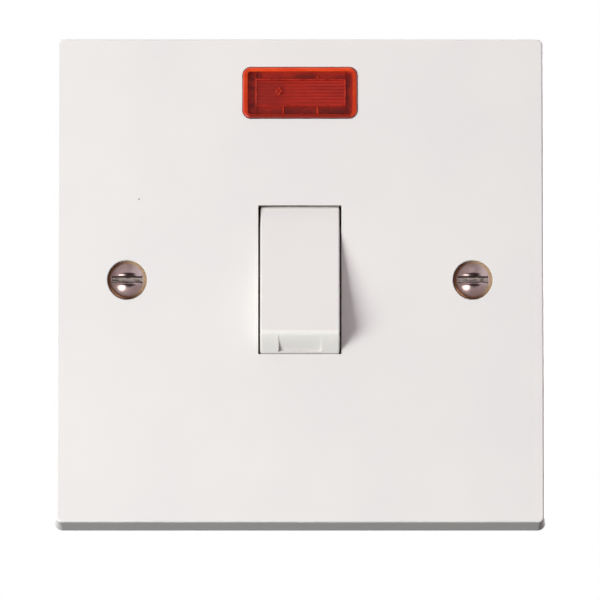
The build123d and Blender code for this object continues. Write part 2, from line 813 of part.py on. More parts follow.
def fixing_screw(x):
    """A raised countersunk screw with a closed slot. Behind the plate it has its full thread size."""
    seat_y = front_y + fixing_head_gap + fixing_seat_gap
    top_y = seat_y - fixing_dome_height
    cone_depth = fixing_head_radius - fixing_neck_radius
    dome_radius = (fixing_head_radius**2 + fixing_dome_height**2) / (2 * fixing_dome_height)
    head = taper_rod(fixing_head_radius, fixing_neck_radius, (x, seat_y, 0), (0, 1, 0), cone_depth)
    cap = Pos(x, top_y + dome_radius, 0) * Sphere(dome_radius)
    cap &= y_rod(fixing_head_radius, x, 0, (top_y, seat_y + face_gap))
    neck = y_rod(fixing_neck_radius, x, 0, (seat_y + cone_depth - root, root))
    shank = y_rod(fixing_thread_radius, x, 0, (0, front_y + fixing_screw_length))
    shank = chamfer(shank.faces().sort_by(Axis.Y)[-1].edges(), fixing_tip_chamfer)
    half_length, half_slot = fixing_slot_length / 2, fixing_slot_width / 2
    slot = brick(
        (x - half_length, x + half_length),
        (top_y, top_y + fixing_slot_depth),
        (-half_slot, half_slot),
    )
    return head + cap + neck + shank - slot


def make_fixing_screws():
    return Compound(children=[fixing_screw(fixing_centres / 2), fixing_screw(-fixing_centres / 2)])


# Neon window
def lens_flutes(root_plane_y):
    """Fine horizontal prisms on the inside of the window's face, which spread the lamp's light."""
    half = flute_pitch / 2
    flutes = []
    for i in range(flute_count):
        z = lens_centre + (i - (flute_count - 1) / 2) * flute_pitch
        corners = [
            Vector(0, root_plane_y - flute_root, z - half),
            Vector(0, root_plane_y - flute_root, z + half),
            Vector(0, root_plane_y + flute_height, z),
        ]
        flutes.append(side_polygon(corners, flute_length / 2))
    return flutes


def lens_legs(rear_y):
    """A snap leg at the top and the bottom, each with a catch that clips into the holder."""
    half = lens_leg_width / 2
    outer = cavity_half_height - fit_gap
    end_y = rear_y + lens_leg_length
    legs = []
    for end in (1, -1):
        inner_z = lens_centre + end * (outer - lens_leg_thickness)
        outer_z = lens_centre + end * outer
        legs.append(brick((-half, half), (rear_y - root, end_y), (inner_z, outer_z)))
        catch_z = (outer_z, outer_z + end * lens_catch_depth)
        legs.append(brick((-half, half), (end_y - lens_catch_length, end_y), catch_z))
    return legs


def make_neon_lens():
    """A red cap with a flange behind the plate, flutes under its face and two snap legs."""
    face_y = front_y - lens_proud
    flange_y = inner_y + face_gap
    rear_y = inner_y + lens_flange_thickness
    lens = extrude(window_plane(face_y) * window_outline(0), amount=rear_y - face_y)
    lens = fillet(lens.faces().sort_by(Axis.Y)[0].edges(), lens_edge_radius)
    lens += extrude(window_plane(flange_y) * window_outline(lens_flange_width), amount=rear_y - flange_y)
    inside_y = face_y + lens_face_wall
    lens -= extrude(window_plane(inside_y) * window_outline(-lens_wall), amount=rear_y - inside_y)
    for piece in lens_flutes(inside_y) + lens_legs(rear_y):
        lens += piece
    return lens


def lamp_saddle(x):
    """A rest on the tray's floor, cut to the lamp's round."""
    half = saddle_thickness / 2
    z_span = (lamp_z - saddle_half_height, lamp_z + saddle_half_height)
    rest = brick((x - half, x + half), (lamp_y, cavity_rear_y + root), z_span)
    return rest - x_rod(lamp_radius + face_gap, lamp_y, lamp_z, (x - half, x + half))


def make_neon_holder():
    """A tray clipped behind the window and staked on two pegs of the plate by its ears."""
    low_z, high_z = lens_centre - holder_half_height, lens_centre + holder_half_height
    tray = brick((-holder_half_width, holder_half_width), (holder_front_y, holder_rear_y), (low_z, high_z))
    tray = fillet(tray.edges().filter_by(Axis.Y), holder_corner_radius)
    for side in (1, -1):
        ear_x = (side * (holder_half_width - root), side * (holder_half_width + ear_reach))
        ear = brick(ear_x, (ear_y, ear_rear_y), (high_z - ear_reach, high_z))
        tray += ear - y_rod(peg_radius + fit_gap, side * peg_x, peg_z, (ear_y, ear_rear_y))
    cavity_z = (lens_centre - cavity_half_height, lens_centre + cavity_half_height)
    tray -= brick((-cavity_half_width, cavity_half_width), (holder_front_y, cavity_rear_y), cavity_z)
    catch_end_y = inner_y + lens_flange_thickness + lens_leg_length
    catch_y = (catch_end_y - lens_catch_length - fit_gap, catch_end_y + fit_gap)
    half = lens_leg_width / 2 + fit_gap
    tray -= brick((-half, half), catch_y, (low_z, high_z))
    hole_radius = wire_radius + fit_gap
    tray -= x_rod(hole_radius, lamp_y - electrode_spread, lamp_z, (-holder_half_width, -cavity_half_width))
    tray -= x_rod(hole_radius, lamp_y, resistor_z, (cavity_half_width, holder_half_width))
    return tray + lamp_saddle(saddle_inset - cavity_half_width) + lamp_saddle(saddle_past_middle)


def make_neon_lamp():
    """A glass tube, round at its right end and pinched solid round its two wires at its left end."""
    envelope = x_rod(lamp_radius, lamp_y, lamp_z, (lamp_left, lamp_round_x))
    envelope += Pos(lamp_round_x, lamp_y, lamp_z) * Sphere(lamp_radius)
    gas_radius = lamp_radius - lamp_glass
    gas = x_rod(gas_radius, lamp_y, lamp_z, (lamp_left + lamp_pinch, lamp_round_x))
    envelope -= gas + Pos(lamp_round_x, lamp_y, lamp_z) * Sphere(gas_radius)
    for step in (-electrode_spread, electrode_spread):
        envelope -= x_rod(wire_radius, lamp_y + step, lamp_z, (lamp_left, lamp_left + lamp_pinch))
    return envelope


def make_neon_electrodes():
    """Two rods in the gas, each on a bare wire that leaves through the pinched end of the glass."""
    front, rear = lamp_y - electrode_spread, lamp_y + electrode_spread
    rod_span = (electrode_left, electrode_left + electrode_length)
    wire_start = electrode_left + electrode_root
    exit_wire = x_rod(wire_radius, front, lamp_z, (-holder_half_width, wire_start))
    turn_x = -cavity_half_width + wire_turn_inset
    link = cable(
        [
            (wire_start, rear, lamp_z),
            (turn_x, rear, lamp_z),
            (turn_x, lamp_y, resistor_z),
            (resistor_left, lamp_y, resistor_z),
        ],
        wire_radius,
    )
    front_piece = x_rod(electrode_radius, front, lamp_z, rod_span) + exit_wire
    rear_piece = x_rod(electrode_radius, rear, lamp_z, rod_span) + link
    return Compound(children=[front_piece, rear_piece])


def make_neon_resistor():
    body = x_rod(resistor_radius, lamp_y, resistor_z, (resistor_left, resistor_right))
    body = fillet(body.edges().filter_by(GeomType.CIRCLE), resistor_end_round)
    return body + x_rod(wire_radius, lamp_y, resistor_z, (resistor_right - root, holder_half_width))


def make_neon_lead(side):
    """An insulated lead from the holder, over the base's edge, down to the load terminal's block."""
    y, z = (lamp_y, resistor_z) if side > 0 else (lamp_y - electrode_spread, lamp_z)
    x = side * block_x
    run_y = inner_y + lead_radius + lead_run_depth
    block_z = block_outer_z - lead_radius - lead_block_inset
    points = [
        (side * holder_half_width, y, z),
        (x, y, z),
        (x, run_y, base_height / 2 + lead_above_base),
        (x, run_y - lead_run_slant, block_z),
        (x, block_front_y, block_z),
    ]
    return cable(points, lead_radius)


def make_parts():
    parts = {
        "front_plate": make_front_plate(),
        "rocker": make_rocker(),
        "mechanism_base": make_mechanism_base(),
        "earth_terminal": make_earth_terminal(),
        "terminal_screws": make_terminal_screws(),
        "base_screws": make_base_screws(),
        "fixing_screws": make_fixing_screws(),
        "neon_lens": make_neon_lens(),
        "neon_holder": make_neon_holder(),
        "neon_lamp_glass": make_neon_lamp(),
        "neon_electrodes": make_neon_electrodes(),
        "neon_resistor": make_neon_resistor(),
    }
    for pole, side in (("line", 1), ("neutral", -1)):
        parts[f"plunger_{pole}"] = make_plunger(side)
        parts[f"plunger_spring_{pole}"] = make_plunger_spring(side)
        parts[f"moving_contact_{pole}"] = make_moving_contact(side)
        parts[f"moving_tip_{pole}"] = make_moving_tip(side)
        parts[f"fixed_tip_{pole}"] = make_fixed_tip(side)
        parts[f"load_terminal_{pole}"] = make_load_terminal(side)
        parts[f"supply_terminal_{pole}"] = make_supply_terminal(side)
        parts[f"neon_lead_{pole}"] = make_neon_lead(side)
    return parts


os.makedirs("parts", exist_ok=True)
for node, shape in make_parts().items():
    export_step(shape, f"parts/{node}.step")
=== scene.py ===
import json
import math

import bmesh
import bpy
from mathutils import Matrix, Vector


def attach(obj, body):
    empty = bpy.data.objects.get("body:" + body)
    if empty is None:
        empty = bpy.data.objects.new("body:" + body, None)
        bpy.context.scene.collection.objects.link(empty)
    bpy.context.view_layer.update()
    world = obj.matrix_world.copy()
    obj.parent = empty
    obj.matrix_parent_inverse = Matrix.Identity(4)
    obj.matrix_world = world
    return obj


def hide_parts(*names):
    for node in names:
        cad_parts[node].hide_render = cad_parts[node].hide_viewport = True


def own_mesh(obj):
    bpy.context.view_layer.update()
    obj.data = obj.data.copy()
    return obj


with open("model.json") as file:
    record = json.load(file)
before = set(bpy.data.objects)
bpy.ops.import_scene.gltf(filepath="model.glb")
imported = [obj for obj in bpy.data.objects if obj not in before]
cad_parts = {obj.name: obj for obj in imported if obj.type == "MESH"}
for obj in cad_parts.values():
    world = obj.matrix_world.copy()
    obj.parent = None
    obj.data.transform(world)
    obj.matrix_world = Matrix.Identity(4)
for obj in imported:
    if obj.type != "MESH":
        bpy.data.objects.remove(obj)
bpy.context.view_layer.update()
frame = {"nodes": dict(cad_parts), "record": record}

# A white wall switch with a rocker, a red neon window and two plated fixing screws.
# X is to the right as the user faces it, Y goes back into the wall and Z is up.
# The camera, the lamps and the stage are placed in metres. Sizes on the pieces are in millimetres.
MM = 0.001

# Camera: a long lens, looking up a little from below the plate's middle, with its elevation in degrees
VIEW_DISTANCE = 1.5
VIEW_ELEVATION = -7.3
VIEW_AIM = Vector((0.0, -9.5 * MM, -3.55 * MM))
LENS_LENGTH = 516.0
CLIP_NEAR = 0.01
CLIP_FAR = 100.0

# Lamps: a large soft one low on the left, its gleam on polished metal, and a fill behind the plate
KEY_DIRECTION = Vector((-1.38, -1.0, -0.43))
KEY_DISTANCE = 1.5
KEY_SIZE = 0.80
KEY_POWER = 29.9
GLEAM_DIRECTION = Vector((-0.50, -1.0, -0.44))
GLEAM_DISTANCE = 0.9
GLEAM_SIZE = 0.46
GLEAM_POWER = 2.8
BACK_DIRECTION = Vector((0.55, 0.8, 0.45))
BACK_DISTANCE = 0.9
BACK_SIZE = 0.8
BACK_POWER = 7.0
LAMP_COLOUR = (0.95, 1.0, 0.975)

# Studio: its strength from above and below, and how dimly it is mirrored low behind the plate
SKY_ABOVE = 0.85
SKY_BELOW = 0.06
SKY_RISE = (-0.25, 0.55)
SKY_COLOUR = (1.0, 0.91, 0.955, 1.0)
GLOSS_BEHIND = 0.05
GLOSS_FADE_BACK = (0.2, 0.8)
GLOSS_FADE_UP = (-0.25, 0.15)
WHITE = (1.0, 1.0, 1.0, 1.0)

# Floor, and the dark card round the camera
FLOOR_HEIGHT = -0.5
FLOOR_RADIUS = 0.4
CARD_DIRECTION = Vector((0.09, -1.0, 0.05))
CARD_DISTANCE = 1.3
CARD_RADIUS = 0.66

# The two openings in the plate, whose walls carry painted shade at the rocker and a painted red glow at the
# window, from their front edge inward
OPENING_HALF = (7.23, 13.05)
OPENING_EDGE = -9.46
OPENING_REACH = 0.15
# width of the line of painted shade on the plate's face beside the opening's left and top edges
PAINTED_SHADE_LINE = 0.07
WINDOW_WALL_REACH = 0.3
TINT_SOFT = 0.02
TINT_DEPTH = 0.03

# The rocker's side walls, painted grey as shade, and its two ridges with a painted highlight, fading in and
# out upward
ROCKER_SIDE_SHADE = (6.71, 6.81)
LOWER_HIGHLIGHT_IN = (-11.8, -9.8)
LOWER_HIGHLIGHT_OUT = (-9.5, -9.0)
UPPER_HIGHLIGHT_IN = (12.1, 12.6)

# Window: its centre's height on the plate, and the rest from that centre
WINDOW_Z = 33.0
WINDOW_FRONT = -9.75
WINDOW_HALF = (10.0, 4.5)
WINDOW_CORNER = 1.4
LEAST_CORNER = 0.3
WINDOW_ROUNDING = 0.3
ROUNDING_STEPS = 6
FLANGE_FRONT = -6.95
FLANGE_REAR = -6.1
FLANGE_OUT = 0.7
RIM_WIDTH = 0.82
RIM_REAR_WIDTH = 0.9
RIM_LOWER_CUT = 0.22
RIM_UPPER_CUT = 0.08
SKIN_GAP = 0.004
SHEET_DEPTH = 0.9
SHEET_REAR_DEPTH = 1.2

# The window's fluted field and the frame round it
FLUTES = 8
FLUTE_PITCH = 0.58
FLUTE_HEIGHT = 0.18
FLUTE_FOOT = 0.02
FIELD_LEFT = -7.6
FIELD_RIGHT = 7.8
FIELD_LOW = -2.24
FIELD_TOP = FIELD_LOW + FLUTES * FLUTE_PITCH
FRAME_WIDTH = 0.17
BAR_ROOT = 0.01

# The gate mark, from the window's centre
GATE_X = -3.65
GATE_Z = 0.4
GATE_RADIUS = 0.75
GATE_DEPTH = 0.7
GATE_LIFT = 0.26
PETALS = 5
PETAL_SIZE = 0.16
PETAL_TURN = 0.6
PETAL_LIFT = 0.5
GATE_RINGS = 6
GATE_SPOKES = 40

# Fixing screws
SCREW_X = 30.15
SCREW_SEAT = -9.34
SCREW_DOME = 5.1
SCREW_CROWN = 1.15
SCREW_CROWN_Y = SCREW_SEAT - SCREW_CROWN
SCREW_HEAD = 3.42
DOME_RADIUS = 3.0
DOME_ROWS = 30
NECK_RADIUS = 1.45
SCREW_SIDES = 96

# Their slots, with worn lips
SLOT_HALF = (2.65, 0.56)
SLOT_DEPTH = 1.35
SLOT_CORNER = 0.12
LIP_BEVEL = 0.11
CUTTER_CLEARANCE = 0.5
LIP_DEPTH = 0.13
LIP_WIDTH = 0.28
LIP_END = 0.25
LIP_END_WIDTH = 0.2

# Their threads, with the share of a turn that a flank takes
THREAD_CORE = 1.4
THREAD_CREST = 1.75
THREAD_PITCH = 0.6
THREAD_END = 15.5
THREAD_POINT = 1.15
THREAD_FLANK = 0.42
CREST_FLATNESS = 1.15
THREAD_RUN_IN = 0.8
THREAD_RUN_OUT = 0.9
THREAD_STOP = 0.4
ROWS_PER_TURN = 6

# Plunger springs, one for each pole
POLE_SIDES = {"line": 1, "neutral": -1}
POLE_X = 4.2
PIVOT_Y = -2.44
REST_TILT = math.radians(10)
COIL_RADIUS = 1.0
COIL_TURNS = 5
COIL_STEPS = 36
CLOSED_SHARE = 0.1
EVEN_RISE = 0.35
WIRE_RADIUS = 0.17
WIRE_SIDES = 14


# Shader sums
class Signal:
    """A shader socket that takes part in sums: each operator adds a Math node."""

    def __init__(self, finish, socket):
        self.finish = finish
        self.socket = socket

    def __add__(self, other):
        return self.finish.math("ADD", self, other)

    __radd__ = __add__

    def __mul__(self, other):
        return self.finish.math("MULTIPLY", self, other)

    __rmul__ = __mul__

    def __sub__(self, other):
        return self.finish.math("SUBTRACT", self, other)

    def __rsub__(self, other):
        return self.finish.math("SUBTRACT", other, self)

    def __pow__(self, other):
        return self.finish.math("POWER", self, other)

    def __rpow__(self, other):
        return self.finish.math("POWER", other, self)

    def above(self, edge):
        return self.finish.math("GREATER_THAN", self, edge)

    def rising(self, low, high):
        """0 at low, 1 at high and a smooth step from one to the other."""
        settings = {"interpolation_type": "SMOOTHSTEP"}
        sockets = {"Value": self, "From Min": low, "From Max": high}
        return self.finish.node("ShaderNodeMapRange", settings, sockets)["Result"]

    def falling(self, low, high):
        """1 at low, 0 at high and a smooth step from one to the other."""
        return 1 - self.rising(low, high)


class Finish:
    """A material or world under construction, with one method that adds any node."""

    def __init__(self, owner):
        self.owner = owner
        owner.use_nodes = True
        self.tree = owner.node_tree
        self.tree.nodes.clear()

    def node(self, kind, settings=None, sockets=None):
        """Adds a node with its settings, then its sockets' values or links, and gives its outputs by name."""
        made = self.tree.nodes.new(kind)
        for name, value in (settings or {}).items():
            setattr(made, name, value)
        for name, value in (sockets or {}).items():
            self.connect(made.inputs[name], value)
        return {s.name: Signal(self, s) for s in made.outputs if s.enabled}

    def connect(self, target, value):
        if isinstance(value, Signal):
            self.tree.links.new(value.socket, target)
        else:
            target.default_value = value

    def math(self, operation, first, second=0.0):
        return self.node("ShaderNodeMath", {"operation": operation}, {0: first, 1: second})["Value"]

    def larger(self, first, second):
        return self.math("MAXIMUM", first, second)

    def mix(self, share, first, second):
        """A colour between two colours: the first at share 0, the second at share 1."""
        sockets = {0: share, 6: first, 7: second}
        return self.node("ShaderNodeMix", {"data_type": "RGBA"}, sockets)["Result"]

    def places(self, scale=(1, 1, 1)):
        """Positions on the piece in millimetres times scale, fixed to the piece as it moves."""
        where = self.node("ShaderNodeTexCoord")["Object"]
        size = tuple(s / MM for s in scale)
        return self.node("ShaderNodeMapping", None, {"Vector": where, "Scale": size})["Vector"]

    def split(self, where):
        """A position's parts, under X, Y and Z."""
        return self.node("ShaderNodeSeparateXYZ", None, {"Vector": where})

    def noise(self, where, scale, detail=2.0, roughness=0.5):
        sockets = {"Vector": where, "Scale": scale, "Detail": detail, "Roughness": roughness}
        return self.node("ShaderNodeTexNoise", None, sockets)["Fac"]

    def bump(self, height, distance, strength):
        sockets = {"Height": height, "Distance": distance * MM, "Strength": strength}
        return self.node("ShaderNodeBump", None, sockets)["Normal"]

    def principled(self, **sockets):
        """The usual shader: keyword names are its sockets with _ for a space."""
        named = {name.replace("_", " "): value for name, value in sockets.items()}
        return self.node("ShaderNodeBsdfPrincipled", None, named)["BSDF"]

    def shader_mix(self, share, first, second):
        return self.node("ShaderNodeMixShader", None, {0: share, 1: first, 2: second})["Shader"]

    def surface(self, **sockets):
        """The finished material, with the usual shader on its surface."""
        self.node("ShaderNodeOutputMaterial", None, {"Surface": self.principled(**sockets)})
        return self.owner

    def seen(self, rays):
        """1 for rays from the camera, straight or through glass."""
        return self.larger(rays["Is Camera Ray"], rays["Is Transmission Ray"])


def new_finish(name):
    return Finish(bpy.data.materials.new(name))


def rgb(red, green, blue):
    """A colour given in screen values from 0 to 255, as linear light."""
    def linear(value):
        share = value / 255
        return share / 12.92 if share <= 0.04045 else ((share + 0.055) / 1.055) ** 2.4
    return (linear(red), linear(green), linear(blue), 1.0)


def stripe(value, low, high, soft):
    """1 between low and high, fading over soft on each side."""
    return value.rising(low - soft, low + soft) * value.falling(high - soft, high + soft)


def swing(noise, amount):
    """A noise as a swing round nought: half of amount to either side."""
    return (noise - 0.5) * amount


# Finishes
BLEND = (0.3, 0.7)  # noise values between which two tones blend
SPECK_RADIUS = (0.018, 0.036)
SPECK_STRENGTH = 0.7
PLATE_SPECK_LIMIT = 0.66  # a speck of dust shows where a second noise is above its limit
ROCKER_SPECK_LIMIT = 0.80


def moulded_white(name, colour, shade, roughness, speck_limit, detail):
    """Pressed thermoset: a soft gloss with faint orange peel, a cloudy tone and a few specks of dust."""
    make = new_finish(name)
    where = make.places()
    cloud = make.noise(where, scale=0.05, detail=3.0)
    peel = make.noise(where, scale=1.6, detail=2.0)
    grain = make.noise(where, scale=9.0, detail=3.0)
    tone = make.mix(cloud.rising(*BLEND), shade, colour)
    cells = make.node(
        "ShaderNodeTexVoronoi",
        {"feature": "F1"},
        {"Vector": where, "Scale": 0.16, "Randomness": 1.0},
    )
    chosen = make.noise(where, scale=0.35, detail=0.0).above(speck_limit)
    speck = cells["Distance"].falling(*SPECK_RADIUS) * chosen
    tone = make.mix(speck * SPECK_STRENGTH, tone, rgb(120, 108, 98))
    height = peel * 0.6 + grain * 0.12 + speck * 0.8
    return make.surface(
        # detail adds each piece's painted shade, glow and highlights to its tone
        Base_Color=detail(make, where, tone),
        Roughness=roughness + swing(grain, 0.08) + swing(cloud, 0.06),
        Normal=make.bump(height, distance=0.012, strength=0.6),
        IOR=1.55,
    )


def opening_painted_shade_and_glow(make, where, tone):
    """Painted shade on the walls in the rocker's opening and in a line beside its left and top edges, and a
    painted red glow on the walls at the window.
    """
    parts = make.split(where)
    right, up = parts["X"], parts["Z"]
    behind = parts["Y"].rising(OPENING_EDGE - TINT_DEPTH, OPENING_EDGE + TINT_DEPTH)
    half_x, half_z = OPENING_HALF
    wide, tall = half_x + OPENING_REACH, half_z + OPENING_REACH
    walls = stripe(right, -wide, wide, TINT_SOFT) * stripe(up, -tall, tall, TINT_SOFT) * behind
    shade_line_x = stripe(right, -half_x - PAINTED_SHADE_LINE, half_x, TINT_SOFT)
    shade_line_z = stripe(up, -half_z, half_z + PAINTED_SHADE_LINE, TINT_SOFT)
    # painted red glow on the window's walls, standing in for light through the red
    wide, tall = (half + WINDOW_WALL_REACH for half in WINDOW_HALF)
    red = stripe(right, -wide, wide, TINT_SOFT) * stripe(up - WINDOW_Z, -tall, tall, TINT_SOFT)
    tone = make.mix(red * behind, tone, rgb(168, 44, 34))
    # painted shade on the opening's walls and in the line beside its left and top edges
    return make.mix(make.larger(walls, shade_line_x * shade_line_z), tone, rgb(66, 38, 33))


def rocker_painted_shade_and_highlight(make, where, tone):
    """Side walls and the outer part of their edge rounding painted grey as shade, and a lighter highlight
    painted along both ridges.
    """
    parts = make.split(where)
    up = parts["Z"]
    # painted highlight along the ridges
    ridge_highlight = make.larger(up.rising(*LOWER_HIGHLIGHT_IN) * up.falling(*LOWER_HIGHLIGHT_OUT), up.rising(*UPPER_HIGHLIGHT_IN))
    # painted shade: grey side walls, which also dim the light they throw onto the plate
    side = make.math("ABSOLUTE", parts["X"]).rising(*ROCKER_SIDE_SHADE)
    return make.mix(side, make.mix(ridge_highlight, tone, rgb(241, 237, 233)), rgb(200, 196, 193))


def satin_moulding(name, colour, shade, roughness):
    """A back moulding left from the tool: a cloudy tone, fine grain and a few scuffs."""
    make = new_finish(name)
    flow = make.noise(make.places((1.0, 1.0, 0.5)), scale=0.09, detail=3.0)
    grain = make.noise(make.places(), scale=7.0, detail=4.0)
    rubs = make.noise(make.places((0.3, 1.0, 2.5)), scale=1.4, detail=6.0, roughness=0.75)
    scuff = rubs.rising(0.66, 0.76)
    tone = make.mix(flow.rising(*BLEND), shade, colour)
    return make.surface(
        Base_Color=make.mix(scuff * 0.15, tone, rgb(150, 146, 138)),
        Roughness=roughness + swing(flow, 0.08) + 0.1 * scuff,
        Normal=make.bump(grain, distance=0.01, strength=0.6),
        IOR=1.5,
    )


def metal(name, colour, dull, roughness, brush=(1.0, 1.0, 1.0)):
    """A metal with a drawn or rubbed grain, handling marks and duller patches."""
    make = new_finish(name)
    lines = make.noise(make.places(brush), scale=2.2, detail=5.0, roughness=0.7)
    patch = make.noise(make.places(), scale=0.7, detail=3.0)
    rubs = make.noise(make.places((0.5, 3.0, 5.0)), scale=1.3, detail=4.0, roughness=0.8)
    marks = rubs.rising(0.6, 0.75)
    return make.surface(
        Base_Color=make.mix(patch.rising(0.35, 0.75) * 0.8, colour, dull),
        Metallic=1.0,
        Roughness=roughness + swing(lines, 0.16) + swing(patch, 0.12) + 0.1 * marks,
        Normal=make.bump(lines * 0.35 + marks * 0.3, distance=0.006, strength=0.6),
    )


def window_places(make):
    """Positions on the window in millimetres from its centre: to the right and upward."""
    parts = make.split(make.places())
    return parts["X"], parts["Z"] - WINDOW_Z


def window_rim():
    """The window's thick edge, orange with a painted glow of light carried through the red, darker at its
    lower left and at its ends, with painted shade along its lowest side.
    """
    make = new_finish("window_rim")
    across, up = window_places(make)
    swirl = make.noise(make.places(), scale=0.7, detail=3.0)
    long_swirl = make.noise(make.places((0.3, 1.0, 1.0)), scale=0.8, detail=3.0)
    end_from, end_to = 8.6, 9.3
    ends = across.rising(end_from, end_to) + across.falling(-end_to, -end_from)
    # painted shade along the rim's lowest side
    lower_shade = up.falling(-4.1, -3.7) * (1 - ends * 0.75)
    lower_half = up.falling(-3.9, 1.5) * across.falling(-9.0, -8.4)
    # painted glow: orange where light runs through the thick red edge
    bright = make.mix(long_swirl.rising(*BLEND), rgb(222, 62, 26), rgb(238, 84, 36))
    bright = make.mix(lower_half * 0.5, bright, rgb(206, 52, 28))
    bright = make.mix(ends * 0.6, bright, rgb(180, 44, 22))
    return make.surface(
        Base_Color=make.mix(lower_shade, bright, rgb(136, 30, 17)),
        Roughness=0.12 + 0.08 * swirl,
        Normal=make.bump(swirl, distance=0.01, strength=0.3),
        IOR=1.5,
        Coat_Weight=0.4,
        Coat_Roughness=0.05,
    )


def window_skin():
    """The window's polished face, which the fluted field shows through."""
    make = new_finish("window_skin")
    swirl = make.noise(make.places(), scale=0.6, detail=3.0)
    return make.surface(
        Base_Color=make.mix(swirl.rising(*BLEND), rgb(150, 28, 22), rgb(172, 36, 26)),
        Roughness=0.05 + 0.05 * swirl,
        Normal=make.bump(swirl, distance=0.008, strength=0.25),
        IOR=1.5,
        Alpha=0.2,
    )


def window_margin(make, across, up):
    """The dim band between the rim and the fluted field, where the holder's parts behind it show as patches
    of painted shade, with a painted glow near the rim.
    """
    patchy = make.noise(make.places((0.35, 1.0, 1.0)), scale=0.7, detail=3.0)
    fine = make.noise(make.places(), scale=1.3, detail=3.0)
    sides = make.mix(patchy.rising(0.35, 0.65), rgb(124, 23, 12), rgb(162, 35, 18))
    ends = make.mix(fine.rising(0.4, 0.6), rgb(92, 18, 12), rgb(156, 34, 18))
    ends = make.mix(across.above(0.0) * 0.5, ends, rgb(72, 16, 12))
    margin = make.mix(stripe(across, -7.9, 8.05, 0.08), ends, sides)

    # painted shade over the holder's parts behind the red, each with how strongly it darkens
    lower = up.falling(-3.0, -2.5)
    upper = up.rising(2.5, 2.9)
    patches = (
        (stripe(across, 3.4, 8.0, 0.3) * lower, 0.85),
        (stripe(across, -2.7, 2.8, 0.4) * lower * up.rising(-4.2, -3.4), 0.7),
        (stripe(across, -5.2, -3.1, 0.3) * lower, 0.35),
        (stripe(across, -7.6, -6.6, 0.25) * upper, 0.9),
        (stripe(across, -0.9, 2.7, 0.6) * upper, 0.55),
    )
    for place, weight in patches:
        margin = make.mix(place * weight * fine.rising(0.1, 0.5), margin, rgb(62, 12, 10))

    # light from the rim
    near_rim = make.larger(up.rising(2.9, 3.8), across.falling(-9.2, -8.3))
    near_rim = make.larger(near_rim, across.rising(8.4, 9.3))
    return make.mix(near_rim * 0.4, margin, rgb(206, 54, 26))


def window_field():
    """The inside of the red face: a fluted field with a brighter edge, and the dim margin round it."""
    make = new_finish("window_field")
    across, up = window_places(make)
    swirl = make.noise(make.places(), scale=0.9, detail=3.0)
    cloud = make.noise(make.places((0.6, 1.0, 1.6)), scale=0.5, detail=3.0)
    field = make.mix(cloud.rising(*BLEND), rgb(150, 24, 10), rgb(174, 33, 14))

    # brighter round the gate mark, dimmer toward the left end
    from_gate_x, from_gate_z = across - GATE_X, up - GATE_Z
    from_gate = (from_gate_x * from_gate_x + from_gate_z * from_gate_z) ** 0.5
    field = make.mix(from_gate.falling(0.3, 0.85) * 0.9, field, rgb(228, 70, 42))
    field = make.mix(across.falling(-4.2, -1.8) * 0.5, field, rgb(140, 26, 14))

    # painted highlights on the flutes' crests toward the right, and painted shade in the grooves between them
    half_pitch = FLUTE_PITCH / 2
    flute = make.math("PINGPONG", up - FIELD_LOW, half_pitch) * (1 / half_pitch)
    crest_highlight = flute.rising(0.55, 0.95) * across.rising(-3.5, 2.5)
    field = make.mix(crest_highlight * 0.5, field, rgb(214, 62, 48))
    field = make.mix(flute.falling(0.02, 0.3) * 0.4, field, rgb(120, 22, 20))

    # the moulded line round the field
    framed = stripe(across, -7.8, 7.95, 0.04) * stripe(up, -2.3, 2.46, 0.04)
    within = stripe(across, -7.58, 7.78, 0.05) * stripe(up, -2.14, 2.3, 0.05)
    edge = framed * (1 - within)
    colour = make.mix(framed, window_margin(make, across, up), field)
    colour = make.mix(edge * swirl.rising(0.3, 0.6) * 0.9, colour, rgb(224, 70, 48))
    return make.surface(
        Base_Color=colour,
        Roughness=0.42 + 0.15 * swirl,
        Normal=make.bump(swirl, distance=0.02, strength=0.4),
        IOR=1.45,
    )


